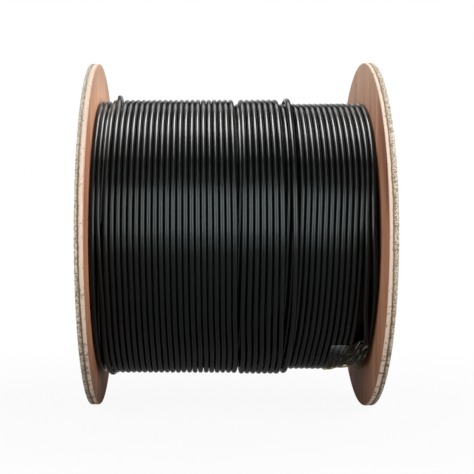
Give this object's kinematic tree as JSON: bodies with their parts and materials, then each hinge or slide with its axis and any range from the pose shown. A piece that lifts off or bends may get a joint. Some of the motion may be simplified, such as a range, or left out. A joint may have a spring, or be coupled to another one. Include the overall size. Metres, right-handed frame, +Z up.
{
  "type": "wooden cable drum",
  "caption": "Wooden cable drum: round plywood flanges on a staved barrel with a centre arbor hole, wound full of black sheathed cable with its outer end taped down.",
  "frame": {"origin": "on the floor, midway between the flanges, under the drum's axis", "axes": "+X along the drum's axis, from the bolt-head flange to the tee-nut flange; +Y to the back; +Z up"},
  "size_m": [0.324, 0.3999, 0.4],
  "materials": {
    "plywood": "bare reddish hardwood plywood, pale sawn rim with a dark core ply",
    "stave_wood": "bare sawn softwood",
    "zinc_steel": "zinc-plated",
    "cable_sheath": "extruded black sheath, satin",
    "clear_tape": "clear packing tape, glossy and creased"
  },
  "bodies": {
    "root": {"flange_left": "plywood", "flange_right": "plywood", "barrel_staves": "stave_wood", "tie_bolts": "zinc_steel", "tee_nuts": "zinc_steel", "cable_coil": "cable_sheath", "cable_tail": "cable_sheath", "end_tape": "clear_tape"}
  },
  "joints": []
}
